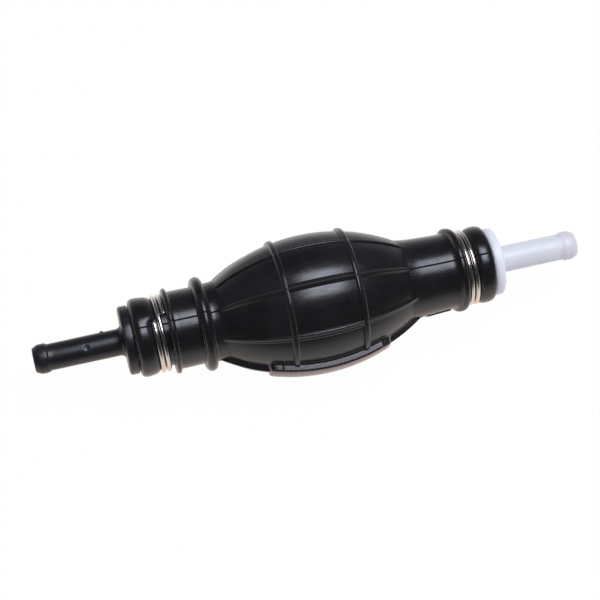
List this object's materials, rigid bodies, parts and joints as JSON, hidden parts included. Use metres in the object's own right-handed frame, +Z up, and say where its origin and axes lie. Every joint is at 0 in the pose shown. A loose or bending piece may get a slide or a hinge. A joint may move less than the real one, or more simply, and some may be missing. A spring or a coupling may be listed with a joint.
{
  "type": "siphon bulb pump",
  "caption": "In-line hand siphon pump: a ribbed black rubber bulb between a black and a milky white hose spigot, wire clamps on its cuffs, and spring-loaded check valves inside both ends.",
  "frame": {"origin": "middle of the bulb on the flow axis", "axes": "+X along the flow, from the black inlet spigot to the white outlet spigot; +Z up as the pump lies on a table; -Y towards the picture's camera"},
  "size_m": [0.1694, 0.0428, 0.0408],
  "materials": {
    "rubber": "satin moulded rubber",
    "black_nylon": "semi-gloss moulded plastic",
    "natural_nylon": "milky translucent moulded plastic",
    "clamp_wire": "bright spring wire",
    "valve_acetal": "moulded plastic",
    "seal_rubber": "moulded rubber",
    "spring_steel": "drawn wire"
  },
  "bodies": {
    "pump_body": {"bulb": "rubber", "inlet_fitting": "black_nylon", "inlet_clamp": "clamp_wire", "inlet_seat_ring": "valve_acetal", "inlet_seat_seal": "seal_rubber", "inlet_spring": "spring_steel", "inlet_cage": "valve_acetal", "outlet_fitting": "natural_nylon", "outlet_clamp": "clamp_wire", "outlet_seat_ring": "valve_acetal", "outlet_seat_seal": "seal_rubber", "outlet_spring": "spring_steel", "outlet_cage": "valve_acetal"},
    "squeezed_wall": {"grip_panel": "rubber"},
    "inlet_valve": {"inlet_poppet": "valve_acetal"},
    "outlet_valve": {"outlet_poppet": "valve_acetal"}
  },
  "joints": [
    {"name": "bulb_squeeze", "type": "slide", "parent": "pump_body", "child": "squeezed_wall", "axis": [0, 0.9397, 0.342], "range_m": [0, 0.007], "stiffness_N_per_m": 2000, "deforming": ["bulb"]},
    {"name": "inlet_valve_lift", "type": "slide", "parent": "pump_body", "child": "inlet_valve", "axis": [1, 0, 0], "range_m": [0, 0.0016], "stiffness_N_per_m": 40, "springref_m": -0.001, "deforming": ["inlet_spring"]},
    {"name": "outlet_valve_lift", "type": "slide", "parent": "pump_body", "child": "outlet_valve", "axis": [1, 0, 0], "range_m": [0, 0.0016], "stiffness_N_per_m": 40, "springref_m": -0.001, "deforming": ["outlet_spring"]}
  ]
}
